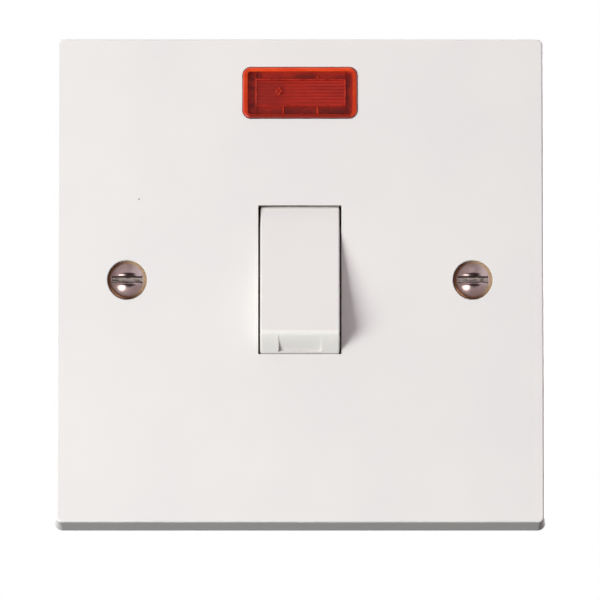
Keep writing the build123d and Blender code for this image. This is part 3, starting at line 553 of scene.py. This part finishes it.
def nickel_head():
    """Polished nickel on a domed screw: mauve grey with painted shade and a painted reflection, a brown ring
    of tarnished metal and painted shade, and a sawn slot with painted shade along its sides.
    """
    make = new_finish("nickel_head")
    where = make.places()
    parts = make.split(where)
    side = parts["X"].above(0.0) * 2 - 1
    across, up = parts["X"] - side * SCREW_X, parts["Z"]
    radius = (across * across + up * up) ** 0.5
    cloud = make.noise(where, scale=0.45, detail=3.0)
    streak = make.noise(make.places((0.4, 1.0, 3.0)), scale=1.6, detail=4.0, roughness=0.7)
    sawn = make.noise(make.places((0.5, 1.0, 3.0)), scale=1.9, detail=3.0, roughness=0.8)

    # the dome, with painted shade toward its edge and at its lower left, and a painted reflection lighter
    # toward the upper right
    tone = make.mix(cloud.rising(*BLEND), rgb(142, 123, 120), rgb(168, 151, 147))
    tone = make.mix(radius.rising(1.2, 2.8) * 0.35, tone, rgb(104, 84, 76))
    lower_left_shade = across.falling(-3.0, -0.6) * 0.55 + up.falling(-3.0, -1.8) * 0.3
    tone = make.mix(lower_left_shade, tone, rgb(108, 88, 80))
    # painted reflection, lighter toward the upper right
    polished = across.rising(0.2, 2.4) * up.rising(-1.4, 0.0)
    tone = make.mix(polished * 0.6, tone, rgb(206, 192, 192))

    # the ring round it, partly tarnished and partly painted shade, with painted light on its upper right side
    tarnish_and_shade = (radius + swing(cloud, 0.5)).rising(2.6, 3.1)
    lit_side = (across * 0.9 + up * 0.35).rising(-0.8, 2.9)
    ring = make.mix(lit_side, rgb(64, 34, 18), rgb(190, 166, 130))
    ring = make.mix(streak.rising(0.4, 0.7) * 0.5, ring, rgb(112, 78, 46))
    tone = make.mix(tarnish_and_shade * 0.92, tone, ring)

    # the slot's floor, with painted shade along its two sides
    half_x, half_z = (half + TINT_SOFT for half in SLOT_HALF)
    slot = stripe(across, -half_x, half_x, TINT_SOFT) * stripe(up, -half_z, half_z, TINT_SOFT)
    slot = slot * parts["Y"].rising(SCREW_SEAT - 0.8, SCREW_SEAT - 0.5)
    floor = make.mix(sawn.rising(0.3, 0.6), rgb(86, 70, 62), rgb(216, 204, 196))
    # painted shade along the slot's two long sides
    corners = (up * up + swing(sawn, 0.1)).rising(0.1, 0.24)
    tone = make.mix(slot, tone, make.mix(corners, floor, rgb(46, 34, 28)))
    return make.surface(
        Base_Color=tone,
        Metallic=1.0,
        Roughness=0.19 + swing(streak, 0.1) + 0.05 * tarnish_and_shade + slot * 0.4,
        Normal=make.bump(streak * 0.5 + cloud * 0.5 + slot * sawn, distance=0.03, strength=0.5),
    )


def clear_glass():
    """Blown glass with a faint ripple."""
    make = new_finish("lamp_glass")
    ripple = make.noise(make.places(), scale=0.6, detail=2.0)
    return make.surface(
        Base_Color=(0.96, 0.98, 0.98, 1.0),
        Roughness=0.02 + 0.03 * ripple,
        Transmission_Weight=1.0,
        IOR=1.5,
        Normal=make.bump(ripple, distance=0.02, strength=0.4),
    )


def sleeving(name, colour, shade):
    """A soft extruded sleeve with faint draw lines."""
    make = new_finish(name)
    lines = make.noise(make.places((1.0, 1.0, 0.2)), scale=3.0, detail=3.0)
    return make.surface(
        Base_Color=make.mix(lines.rising(*BLEND), shade, colour),
        Roughness=0.42 + swing(lines, 0.14),
        Normal=make.bump(lines, distance=0.015, strength=0.5),
        IOR=1.5,
    )


# The window's finishes, with their places on its mesh
WINDOW_FINISHES = [window_rim(), window_skin(), window_field()]
RIM, SKIN, FIELD = 0, 1, 2


def make_finishes():
    """One finish for each material slot: its name, colour, shade and roughness, and what else it takes."""
    plate, plate_shade = rgb(235, 231, 229), rgb(232, 228, 227)
    rocker, rocker_shade = rgb(230, 226, 223), rgb(228, 224, 222)
    drawn, rolled, turned = (1.0, 1.0, 0.08), (1.0, 1.0, 0.1), (0.3, 1.0, 0.3)
    return {
        "plate": moulded_white("plate_white", plate, plate_shade, 0.34, PLATE_SPECK_LIMIT, opening_painted_shade_and_glow),
        "rocker": moulded_white("rocker_white", rocker, rocker_shade, 0.36, ROCKER_SPECK_LIMIT, rocker_painted_shade_and_highlight),
        "base": satin_moulding("base_moulding", rgb(226, 223, 216), rgb(219, 216, 208), 0.5),
        "holder": satin_moulding("holder_nylon", rgb(222, 219, 210), rgb(212, 208, 198), 0.45),
        "plunger": satin_moulding("plunger_nylon", rgb(224, 220, 206), rgb(216, 211, 196), 0.4),
        "terminal": metal("drawn_brass", rgb(214, 180, 106), rgb(184, 148, 84), 0.3, drawn),
        "arm": metal("copper_strip", rgb(214, 150, 112), rgb(176, 112, 82), 0.32, rolled),
        "contact_tip": metal("silver_tip", rgb(226, 224, 218), rgb(186, 182, 174), 0.28),
        "plated_screw": metal("zinc_plate", rgb(206, 206, 204), rgb(170, 170, 168), 0.3, turned),
        "fixing_screw": nickel_head(),
        "wire": metal("nickel_wire", rgb(196, 194, 190), rgb(160, 156, 150), 0.3),
        "spring": metal("spring_wire", rgb(186, 187, 190), rgb(150, 150, 152), 0.28),
        "resistor": satin_moulding("resistor_lacquer", rgb(176, 146, 108), rgb(160, 128, 92), 0.35),
        "lead": sleeving("white_sleeve", rgb(226, 224, 220), rgb(216, 213, 208)),
        "lens": WINDOW_FINISHES[RIM],
        "lamp_glass": clear_glass(),
    }


finishes = make_finishes()
slot_of_node = {s["node"]: s["material_slot"] for s in frame["record"]["subparts"]}
for node_name, thing in frame["nodes"].items():
    thing.data.materials.clear()
    thing.data.materials.append(finishes[slot_of_node[node_name]])


# Mesh pieces
def in_scene(name, data):
    """An object made of data, linked to the scene."""
    made = bpy.data.objects.new(name, data)
    bpy.context.scene.collection.objects.link(made)
    return made


def add_piece(name, points, faces, materials, material_of_face=None, smooth=True):
    """A mesh piece from points in millimetres."""
    data = bpy.data.meshes.new(name)
    data.from_pydata([tuple(c * MM for c in p) for p in points], [], faces)
    for material in materials:
        data.materials.append(material)
    if material_of_face:
        data.polygons.foreach_set("material_index", material_of_face)
    data.polygons.foreach_set("use_smooth", [smooth] * len(data.polygons))
    data.update()
    return in_scene(name, data)


def tidy_normals(piece, sharp_angle=35.0):
    """Turns faces outward, joins doubled points, and splits the shading at edges over sharp_angle."""
    work = bmesh.new()
    work.from_mesh(piece.data)
    bmesh.ops.remove_doubles(work, verts=work.verts, dist=0.002 * MM)
    bmesh.ops.recalc_face_normals(work, faces=work.faces)
    for edge in work.edges:
        turn = edge.calc_face_angle(None)
        edge.smooth = turn is not None and turn < math.radians(sharp_angle)
    work.to_mesh(piece.data)
    work.free()


def neighbours(count):
    """Each number below count with the one after it, and the last with the first."""
    return [(i, (i + 1) % count) for i in range(count)]


def band_faces(rows, around, first=0):
    """The faces between closed rows of points, each around long, that start at point first."""
    faces = []
    for row in range(rows - 1):
        near = first + row * around
        far = near + around
        faces += [[near + k, near + after, far + after, far + k] for k, after in neighbours(around)]
    return faces


def rounded_outline(half_width, half_height, radius, steps=8):
    """Points round a rectangle with round corners, counterclockwise as seen by the user."""
    points = []
    corners = ((1, 1, 0), (-1, 1, 90), (-1, -1, 180), (1, -1, 270))
    for side_x, side_z, start in corners:
        centre_x = side_x * (half_width - radius)
        centre_z = side_z * (half_height - radius)
        for i in range(steps + 1):
            angle = math.radians(start + 90 * i / steps)
            points.append((centre_x + radius * math.cos(angle), centre_z + radius * math.sin(angle)))
    return points


# Neon window
class WindowMesh:
    """The window's points and faces as they are added, with the finish of each face."""

    def __init__(self):
        self.points = []
        self.faces = []
        self.finish_of = []

    def face(self, corners, finish):
        self.faces.append(corners)
        self.finish_of.append(finish)

    def ring(self, shrink, y, lower=0.0, upper=0.0):
        """A round-cornered ring, with its lower and upper sides moved outward by lower and upper."""
        first = len(self.points)
        half_x, half_z = (half - shrink for half in WINDOW_HALF)
        for x, z in rounded_outline(half_x, half_z, max(WINDOW_CORNER - shrink, LEAST_CORNER)):
            self.points.append((x, y, WINDOW_Z + z + (upper if z > 0 else -lower)))
        return list(range(first, len(self.points)))

    def skirt(self, one, two, finish):
        """The wall between two rings."""
        for i, after in neighbours(len(one)):
            self.face([one[i], one[after], two[after], two[i]], finish)

    def box(self, low, high, finish):
        """A block between two opposite corners."""
        first = len(self.points)
        for x in (low[0], high[0]):
            for y in (low[1], high[1]):
                for z in (low[2], high[2]):
                    self.points.append((x, y, WINDOW_Z + z))
        for quad in ((0, 1, 3, 2), (4, 6, 7, 5), (0, 4, 5, 1), (2, 3, 7, 6), (0, 2, 6, 4), (1, 5, 7, 3)):
            self.face([first + i for i in quad], finish)

    def bar(self, x_range, z_range, lift, finish):
        """A low bar that stands forward of the inner sheet by lift."""
        sheet_y = WINDOW_FRONT + SHEET_DEPTH
        low = (x_range[0], sheet_y - lift, z_range[0])
        high = (x_range[1], sheet_y + BAR_ROOT, z_range[1])
        self.box(low, high, finish)


def add_window_shell(window):
    """Flange, rounded rim, polished face, and the inner sheet that the face lets show."""
    path = [
        (RIM_REAR_WIDTH, FLANGE_REAR),
        (-FLANGE_OUT, FLANGE_REAR),
        (-FLANGE_OUT, FLANGE_FRONT),
        (0.0, FLANGE_FRONT),
    ]
    for i in range(ROUNDING_STEPS + 1):
        angle = math.radians(90 * i / ROUNDING_STEPS)
        inward = WINDOW_ROUNDING * (1 - math.cos(angle))
        path.append((inward, WINDOW_FRONT + WINDOW_ROUNDING * (1 - math.sin(angle))))
    rings = [window.ring(shrink, y) for shrink, y in path]
    rings.append(window.ring(RIM_WIDTH, WINDOW_FRONT, RIM_LOWER_CUT, RIM_UPPER_CUT))
    for one, two in zip(rings, rings[1:]):
        window.skirt(one, two, RIM)
    inner_front = window.ring(RIM_WIDTH, WINDOW_FRONT + SKIN_GAP, RIM_LOWER_CUT, RIM_UPPER_CUT)
    inner_rear = window.ring(RIM_WIDTH, WINDOW_FRONT + SHEET_DEPTH, RIM_LOWER_CUT, RIM_UPPER_CUT)
    sheet_rear = window.ring(RIM_REAR_WIDTH, WINDOW_FRONT + SHEET_REAR_DEPTH)
    window.face(rings[-1][::-1], SKIN)
    window.skirt(inner_front, inner_rear, RIM)
    window.face(inner_rear[::-1], FIELD)
    window.skirt(sheet_rear, rings[0], RIM)
    window.face(sheet_rear, FIELD)


def add_flutes(window):
    """Ridged flutes across the field."""
    foot_y = WINDOW_FRONT + SHEET_DEPTH - FLUTE_FOOT
    crest_y = WINDOW_FRONT + SHEET_DEPTH - FLUTE_HEIGHT
    for i in range(FLUTES):
        low = WINDOW_Z + (FIELD_LOW + FLUTE_PITCH * i)
        first = len(window.points)
        for x in (FIELD_LEFT, FIELD_RIGHT):
            window.points.append((x, foot_y, low))
            window.points.append((x, crest_y, low + FLUTE_PITCH / 2))
            window.points.append((x, foot_y, low + FLUTE_PITCH))
        window.face([first, first + 3, first + 4, first + 1], FIELD)
        window.face([first + 1, first + 4, first + 5, first + 2], FIELD)


def add_window_marks(window):
    """The frame round the flutes, and the lines of the snap legs and the holder that show through."""
    left, right, low, top = FIELD_LEFT, FIELD_RIGHT, FIELD_LOW, FIELD_TOP
    edge = FRAME_WIDTH
    frame_lift, leg_lift, holder_lift = 0.3, 0.2, 0.25
    leg_half, holder_half, holder_reach = 0.09, 0.07, 3.6
    window.bar((left - edge, left), (low - edge, top + edge), frame_lift, FIELD)
    window.bar((right, right + edge), (low - edge, top + edge), frame_lift, FIELD)
    window.bar((left, right), (top, top + edge), frame_lift, FIELD)
    window.bar((left, right), (low - edge, low), frame_lift, FIELD)
    leg_lines = ((-2.92, -3.7, low - edge), (3.06, -3.7, low - edge), (3.06, top + edge, 3.0))
    for x, low_z, high_z in leg_lines:
        window.bar((x - leg_half, x + leg_half), (low_z, high_z), leg_lift, RIM)
    for x in (left - edge / 2, right + edge / 2):
        window.bar((x - holder_half, x + holder_half), (-holder_reach, holder_reach), holder_lift, FIELD)


def add_snap_legs(window):
    """A leg above and below, each with a hook that holds the plate from behind."""
    half_width, leg_root, leg_end, hook_root = 2.85, -6.3, -3.5, -4.4
    for end in (1, -1):
        outer, inner, hook = end * 4.1, end * 3.3, end * 4.6
        for root, one, two in ((leg_root, outer, inner), (hook_root, outer, hook)):
            window.box((-half_width, root, min(one, two)), (half_width, leg_end, max(one, two)), RIM)


def make_window():
    """The red window: a rounded rim with a flange and snap legs, a clear face and a fluted inner field."""
    mesh = WindowMesh()
    add_window_shell(mesh)
    add_flutes(mesh)
    add_window_marks(mesh)
    add_snap_legs(mesh)
    window = add_piece(
        "red_window", mesh.points, mesh.faces, WINDOW_FINISHES, mesh.finish_of, smooth=False
    )
    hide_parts("neon_lens")
    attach(window, "plate")


def make_gate_mark():
    """The small petalled mark where the red plastic was fed into its mould."""
    points = []
    for ring in range(GATE_RINGS + 1):
        share = ring / GATE_RINGS
        lift = GATE_LIFT * math.sin(share * math.pi) ** 2
        for spoke in range(GATE_SPOKES):
            angle = math.tau * spoke / GATE_SPOKES
            petal = 1 + PETAL_SIZE * share * math.cos(PETALS * angle + PETAL_TURN)
            radius = GATE_RADIUS * share * petal
            x = GATE_X + radius * math.cos(angle)
            y = WINDOW_FRONT + GATE_DEPTH - lift * (1 + PETAL_LIFT * math.cos(PETALS * angle))
            points.append((x, y, WINDOW_Z + GATE_Z + radius * math.sin(angle)))
    faces = band_faces(GATE_RINGS + 1, GATE_SPOKES)
    mark = add_piece("window_gate_mark", points, faces, [WINDOW_FINISHES[FIELD]])
    tidy_normals(mark, sharp_angle=60)
    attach(mark, "plate")


# Fixing screws
def screw_profile():
    """The screw's outline from the crown of its dome to its core behind the plate: radius and depth."""
    outline = [(0.0, SCREW_CROWN_Y)]
    for i in range(1, DOME_ROWS + 1):
        radius = DOME_RADIUS * i / DOME_ROWS
        drop = SCREW_DOME - math.sqrt(SCREW_DOME**2 - radius**2)
        outline.append((radius, SCREW_CROWN_Y + drop))
    outline += [
        (3.12, SCREW_SEAT - 0.1),
        (3.25, SCREW_SEAT - 0.055),
        (3.36, SCREW_SEAT - 0.02),
        (SCREW_HEAD, SCREW_SEAT + 0.04),
        (3.3, SCREW_SEAT + 0.16),
        (NECK_RADIUS, SCREW_SEAT + 1.97),
        (NECK_RADIUS, -0.1),
        (THREAD_CORE, 0.0),
    ]
    return outline


def worn_lip(x, z):
    """How far the dome is pressed in beside the slot, where drivers have rounded its long lips."""
    beside = max(0.0, abs(z) - SLOT_HALF[1]) / LIP_WIDTH
    ends = max(0.0, abs(x) - SLOT_HALF[0] + LIP_END) / LIP_END_WIDTH
    return LIP_DEPTH * math.exp(-beside * beside - ends * ends)


def thread_row(y):
    """Radius and depth round the helical thread at depth y. The thread fades out toward both its ends."""
    fade = min(1.0, y / THREAD_RUN_IN) * min(1.0, (THREAD_END - y) / THREAD_RUN_OUT)
    row = []
    for k in range(SCREW_SIDES):
        phase = (y / THREAD_PITCH - k / SCREW_SIDES) % 1.0
        flank = max(0.0, 1 - abs(phase - 0.5) / THREAD_FLANK)
        height = (THREAD_CREST - THREAD_CORE) * min(1.0, flank * CREST_FLATNESS) * fade
        row.append((THREAD_CORE + height, y))
    return row


def make_screw_body(side):
    """Points and faces of the head, the neck and the threaded shank."""
    outline = screw_profile()
    thread_rows = int((THREAD_END - THREAD_STOP) / THREAD_PITCH * ROWS_PER_TURN)
    rows = [[place] * SCREW_SIDES for place in outline[1:]]
    rows += [thread_row(i * THREAD_PITCH / ROWS_PER_TURN) for i in range(1, thread_rows + 1)]
    rows.append([(THREAD_POINT, THREAD_END)] * SCREW_SIDES)
    centre_x = side * SCREW_X
    dome_end = SCREW_SEAT - 0.12
    points = [(centre_x, SCREW_CROWN_Y, 0.0)]
    for row in rows:
        for k, (radius, y) in enumerate(row):
            angle = math.tau * k / SCREW_SIDES
            x, z = radius * math.cos(angle), radius * math.sin(angle)
            pressed = worn_lip(x, z) if y < dome_end else 0.0
            points.append((centre_x + x, y + pressed, z))
    points.append((centre_x, THREAD_END, 0.0))
    last = len(points) - 1
    last_row = last - SCREW_SIDES
    faces = [[0, 1 + after, 1 + k] for k, after in neighbours(SCREW_SIDES)]
    faces += band_faces(len(rows), SCREW_SIDES, first=1)
    faces += [[last_row + k, last_row + after, last] for k, after in neighbours(SCREW_SIDES)]
    return points, faces


def cut_slot(screw, side):
    """Cuts the driver slot, closed at both ends, and rounds its lips."""
    outline = rounded_outline(*SLOT_HALF, SLOT_CORNER, 3)
    count = len(outline)
    depths = (SCREW_CROWN_Y - CUTTER_CLEARANCE, SCREW_CROWN_Y + SLOT_DEPTH)
    points = [(side * SCREW_X + x, y, z) for y in depths for x, z in outline]
    faces = [list(range(count)), list(range(count, 2 * count))]
    faces += band_faces(len(depths), count)
    cutter = add_piece("slot_cutter", points, faces, [])
    tidy_normals(cutter)
    cut = screw.modifiers.new("slot", "BOOLEAN")
    cut.operation = "DIFFERENCE"
    cut.object = cutter
    cut.solver = "EXACT"
    lip = screw.modifiers.new("lip", "BEVEL")
    lip.width = LIP_BEVEL * MM
    lip.segments = 3
    lip.limit_method = "ANGLE"
    lip.angle_limit = math.radians(40)
    graph = bpy.context.evaluated_depsgraph_get()
    shaped = bpy.data.meshes.new_from_object(screw.evaluated_get(graph))
    screw.modifiers.clear()
    screw.data = shaped
    bpy.data.objects.remove(cutter)


def make_fixing_screws():
    """A slotted screw on each side of the plate."""
    for side, name in ((1, "right"), (-1, "left")):
        points, faces = make_screw_body(side)
        screw = add_piece(f"fixing_screw_{name}", points, faces, [finishes["fixing_screw"]])
        tidy_normals(screw)
        cut_slot(screw, side)
        tidy_normals(screw, sharp_angle=38)
        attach(screw, "plate")
        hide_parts("fixing_screws")


# Plunger springs
def coil_rise(share):
    """How far up the coil lies at a share of its wire: its pitch closes toward both ends."""
    open_share = min(1.0, max(0.0, (share - CLOSED_SHARE) / (1 - 2 * CLOSED_SHARE)))
    eased = 0.5 - 0.5 * math.cos(math.pi * open_share)
    return EVEN_RISE * share + (1 - EVEN_RISE) * eased


def make_spring(pole, side):
    """A coil of round wire with closed ends, between the bore's blind end and the plunger."""
    node = frame["nodes"][f"plunger_spring_{pole}"]
    middle = Vector((side * POLE_X, PIVOT_Y, 0.0))
    along = Vector((0.0, -math.cos(REST_TILT), math.sin(REST_TILT)))
    reach = [(node.matrix_world @ v.co / MM - middle).dot(along) for v in node.data.vertices]
    near, far = min(reach) + WIRE_RADIUS, max(reach) - WIRE_RADIUS
    across = Vector((1, 0, 0))
    beside = along.cross(across)
    steps = COIL_TURNS * COIL_STEPS
    points = []
    for i in range(steps + 1):
        share = i / steps
        angle = math.tau * COIL_TURNS * share
        outward = across * math.cos(angle) + beside * math.sin(angle)
        rise = near + (far - near) * coil_rise(share)
        centre = middle + along * rise + outward * COIL_RADIUS
        for k in range(WIRE_SIDES):
            turn = math.tau * k / WIRE_SIDES
            points.append(centre + WIRE_RADIUS * (outward * math.cos(turn) + along * math.sin(turn)))
    last = steps * WIRE_SIDES
    faces = band_faces(steps + 1, WIRE_SIDES)
    faces.append(list(range(WIRE_SIDES)))
    faces.append(list(range(last, last + WIRE_SIDES)))
    spring = add_piece(f"coil_spring_{pole}", points, faces, [finishes["spring"]])
    tidy_normals(spring, sharp_angle=60)
    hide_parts(f"plunger_spring_{pole}")
    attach(spring, "rocker")
    (middle + along * far) * MM
    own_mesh(spring)


make_window()
make_gate_mark()
make_fixing_screws()
for pole_name, pole_side in POLE_SIDES.items():
    make_spring(pole_name, pole_side)


# Stage
def point_at(thing, target):
    thing.rotation_euler = (target - thing.location).to_track_quat("-Z", "Y").to_euler()


def make_camera():
    data = bpy.data.cameras.new("camera")
    data.lens = LENS_LENGTH
    data.clip_start = CLIP_NEAR
    data.clip_end = CLIP_FAR
    camera = in_scene("camera", data)
    rise = math.radians(VIEW_ELEVATION)
    camera.location = VIEW_AIM + VIEW_DISTANCE * Vector((0.0, -math.cos(rise), math.sin(rise)))
    point_at(camera, VIEW_AIM)
    bpy.context.scene.camera = camera


def make_soft_light(name, direction, distance, size, power):
    """A square lamp that faces the origin."""
    data = bpy.data.lights.new(name, "AREA")
    data.shape = "SQUARE"
    data.size = size
    data.energy = power
    lamp = in_scene(name, data)
    lamp.location = direction.normalized() * distance
    point_at(lamp, Vector((0, 0, 0)))
    return lamp


def make_lamps():
    """The key lamp, a gleam that shows only in reflections, and the lamp behind the plate."""
    key = make_soft_light("key_light", KEY_DIRECTION, KEY_DISTANCE, KEY_SIZE, KEY_POWER)
    key.visible_glossy = False
    key.data.color = LAMP_COLOUR
    gleam = make_soft_light("gleam", GLEAM_DIRECTION, GLEAM_DISTANCE, GLEAM_SIZE, GLEAM_POWER)
    gleam.visible_diffuse = False
    gleam.data.shape = "DISK"
    back = make_soft_light("back_light", BACK_DIRECTION, BACK_DISTANCE, BACK_SIZE, BACK_POWER)
    back.data.color = LAMP_COLOUR


def make_world():
    """A studio that the camera sees white, with less light from below and dim mirroring low behind."""
    world = bpy.data.worlds.new("studio")
    bpy.context.scene.world = world
    make = Finish(world)
    direction = make.split(make.node("ShaderNodeTexCoord")["Generated"])
    up, back = direction["Z"], direction["Y"]
    rays = make.node("ShaderNodeLightPath")

    def background(colour, strength):
        return make.node("ShaderNodeBackground", None, {"Color": colour, "Strength": strength})["Background"]

    light = SKY_BELOW + (SKY_ABOVE - SKY_BELOW) * up.rising(*SKY_RISE)
    low_behind = back.rising(*GLOSS_FADE_BACK) * up.falling(*GLOSS_FADE_UP)
    sky = background(SKY_COLOUR, light)
    mirrored = background(SKY_COLOUR, 1 - (1 - GLOSS_BEHIND) * low_behind)
    lit = make.shader_mix(rays["Is Glossy Ray"], sky, mirrored)
    both = make.shader_mix(make.seen(rays), lit, background(WHITE, 1.0))
    make.node("ShaderNodeOutputWorld", None, {"Surface": both})


def disc(name, centre, normal, radius, sides=64):
    """A flat round sheet that faces along normal."""
    turn = normal.to_track_quat("Z", "Y").to_matrix()
    angles = [math.tau * i / sides for i in range(sides)]
    rim = [centre + turn @ Vector((radius * math.cos(a), radius * math.sin(a), 0)) for a in angles]
    data = bpy.data.meshes.new(name)
    data.from_pydata([v[:] for v in rim], [], [list(range(sides))])
    return in_scene(name, data)


def make_floor():
    """A plain pale floor, white where the camera sees it."""
    floor = disc("floor", Vector((0, 0, FLOOR_HEIGHT)), Vector((0, 0, 1)), FLOOR_RADIUS)
    make = new_finish("floor_white")
    plain = make.principled(Base_Color=rgb(240, 240, 240), Roughness=0.7)
    white = make.node("ShaderNodeEmission", None, {"Strength": 1.0})["Emission"]
    rays = make.node("ShaderNodeLightPath")
    both = make.shader_mix(make.seen(rays), plain, white)
    make.node("ShaderNodeOutputMaterial", None, {"Surface": both})
    floor.data.materials.append(make.owner)
    floor.visible_diffuse = False
    floor.visible_glossy = False


def make_dark_card():
    """The dim room round the camera, which only polished surfaces mirror."""
    towards = CARD_DIRECTION.normalized()
    card = disc("dark_card", towards * CARD_DISTANCE, -towards, CARD_RADIUS)
    card.visible_camera = False
    card.visible_diffuse = False
    card.visible_shadow = False
    card.visible_transmission = False
    make = new_finish("card_dark")
    cloud = make.noise(make.places((0.01, 0.01, 0.01)), scale=1.0)
    make.surface(Base_Color=make.mix(cloud, rgb(52, 46, 44), rgb(74, 66, 64)), Roughness=0.9)
    card.data.materials.append(make.owner)


make_camera()
make_world()
make_lamps()
make_floor()
make_dark_card()
bpy.context.scene.view_settings.view_transform = "Standard"
